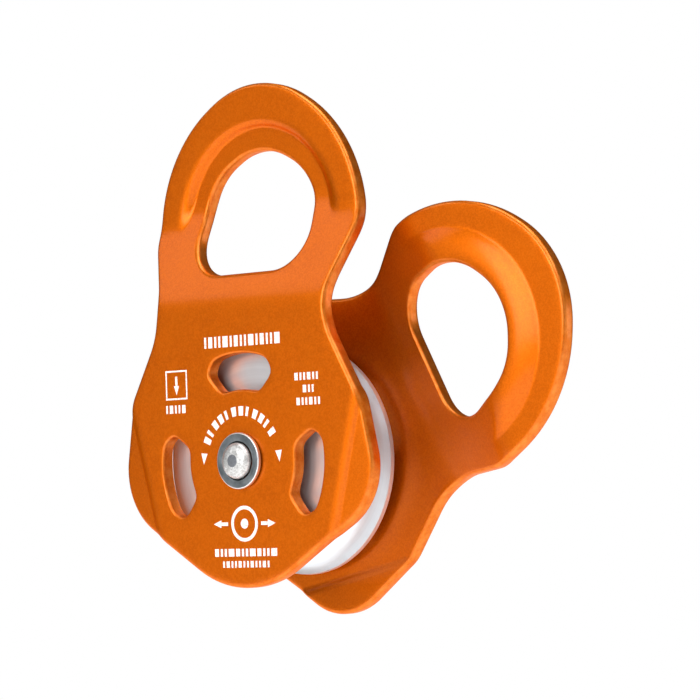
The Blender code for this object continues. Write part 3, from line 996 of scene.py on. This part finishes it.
def pale_floor():
    """Matt white studio paper."""
    s = Shader("pale_floor")
    fibre = s.noise(1.2, 4.0, 0.6)
    colour = s.mix(s.ramp(fibre, 0.3, 0.7, 0.0, 1.0), (0.90, 0.90, 0.895), (0.93, 0.93, 0.93))
    s.put(s.surface.inputs["Base Color"], colour)
    s.put(s.surface.inputs["Roughness"], 0.9)
    s.put(s.surface.inputs["Emission Color"], (1.0, 1.0, 1.0, 1.0))
    s.put(s.surface.inputs["Emission Strength"], FLOOR_GLOW)
    return s.material


# ---- the pulley --------------------------------------------------------------------------


def build_pulley():
    """Every piece of the pulley, on the body that carries it."""
    orange = orange_anodised()
    steel = hammered_steel()
    zinc = zinc_plated()
    bronze = sintered_bronze()
    nylon = ivory_nylon()
    placed("front_cheek", plate_mesh("front_cheek"), "front_plate", "front_side_plate",
           orange)
    placed("rear_cheek", plate_mesh("rear_cheek"), "rear_plate", "rear_side_plate",
           orange, (0.0, -PLATE_SWING, math.pi))
    placed("front_markings", marks_mesh("front_markings"), "front_plate", None,
           printed_white())
    placed("sheave_wheel", sheave_mesh(), "sheave", "sheave", turned_aluminium())
    for side in ("front", "rear"):
        placed(f"{side}_flanged_bush", bush_mesh(f"{side}_flanged_bush", f"{side}_bush"),
               "sheave", f"{side}_bush", bronze)
        placed(f"{side}_spacer", eased_ring(f"{side}_spacer", f"{side}_thrust_washer",
                                            BEARING_BORE, 0.12),
               "axle", f"{side}_thrust_washer", nylon)
        placed(f"{side}_rivet_washer", washer_mesh(f"{side}_rivet_washer",
                                                   f"{side}_head_washer"),
               "axle", f"{side}_head_washer", zinc)
    placed("bearing_sleeve", eased_ring("bearing_sleeve", "axle_sleeve", SLEEVE_BORE, 0.15),
           "axle", "axle_sleeve", ground_steel())
    placed("riveted_pin", pin_mesh(), "axle", "axle_pin", steel)


# ---- studio ------------------------------------------------------------------------------


def build_floor():
    """A round pale floor below the hanging pulley."""
    floor_mesh = bmesh.new()
    bmesh.ops.create_circle(floor_mesh, cap_ends=True, segments=FLOOR_STEPS,
                            radius=FLOOR_RADIUS)
    mesh = bpy.data.meshes.new("studio_floor")
    floor_mesh.to_mesh(mesh)
    floor_mesh.free()
    mesh.materials.append(pale_floor())
    floor = bpy.data.objects.new("studio_floor", mesh)
    floor.location = (AXLE.x, AXLE.y, CAD_BOX[0].z - FLOOR_DROP)
    bpy.context.scene.collection.objects.link(floor)


def direction(azimuth, elevation):
    """Unit vector from the axle; azimuth 0 is in front and a quarter turn to the right."""
    return Vector((math.sin(azimuth) * math.cos(elevation),
                   -math.cos(azimuth) * math.cos(elevation), math.sin(elevation)))


def softbox(name, azimuth, elevation, size, power):
    """A rectangular area light aimed at the axle."""
    way = direction(math.radians(azimuth), math.radians(elevation))
    lamp = bpy.data.lights.new(name, "AREA")
    lamp.shape = "RECTANGLE"
    lamp.size, lamp.size_y = size
    lamp.energy = power
    light = bpy.data.objects.new(name, lamp)
    light.location = AXLE + way * LIGHT_DISTANCE
    light.rotation_euler = way.to_track_quat("Z", "Y").to_euler()
    bpy.context.scene.collection.objects.link(light)


def build_world():
    """White backdrop for the camera; the softboxes and the floor light the pulley."""
    world = bpy.data.worlds.new("studio")
    world.use_nodes = True
    bpy.context.scene.world = world
    tree = world.node_tree
    path = tree.nodes.new("ShaderNodeLightPath")
    background = tree.nodes["Background"]
    background.inputs["Color"].default_value = (1.0, 1.0, 1.0, 1.0)
    tree.links.new(path.outputs["Is Camera Ray"], background.inputs["Strength"])


def build_camera():
    """At the photograph's angle: a little to the right and just below the axle."""
    back = direction(CAMERA_AZIMUTH, CAMERA_ELEVATION)
    level = Vector((math.cos(CAMERA_AZIMUTH), math.sin(CAMERA_AZIMUTH), 0.0))
    up = back.cross(level)
    right = math.cos(CAMERA_ROLL) * level + math.sin(CAMERA_ROLL) * up
    up = math.cos(CAMERA_ROLL) * up - math.sin(CAMERA_ROLL) * level
    aim = AXLE + level * CAMERA_AIM_RIGHT + Vector((0.0, 0.0, CAMERA_AIM_UP))
    camera = bpy.data.objects.new("camera", bpy.data.cameras.new("camera"))
    camera.data.sensor_width = CAMERA_SENSOR
    camera.data.lens = CAMERA_LENS
    camera.data.clip_start, camera.data.clip_end = CAMERA_CLIP
    turn = Matrix((right, up, back)).transposed()
    camera.matrix_world = Matrix.Translation(aim + back * CAMERA_DISTANCE) @ turn.to_4x4()
    bpy.context.scene.collection.objects.link(camera)
    bpy.context.scene.camera = camera


def build_studio():
    """Floor, backdrop, lights and camera."""
    build_floor()
    build_world()
    for settings in SOFTBOXES:
        softbox(*settings)
    build_camera()
    bpy.context.scene.view_settings.view_transform = "Standard"


build_pulley()
build_studio()
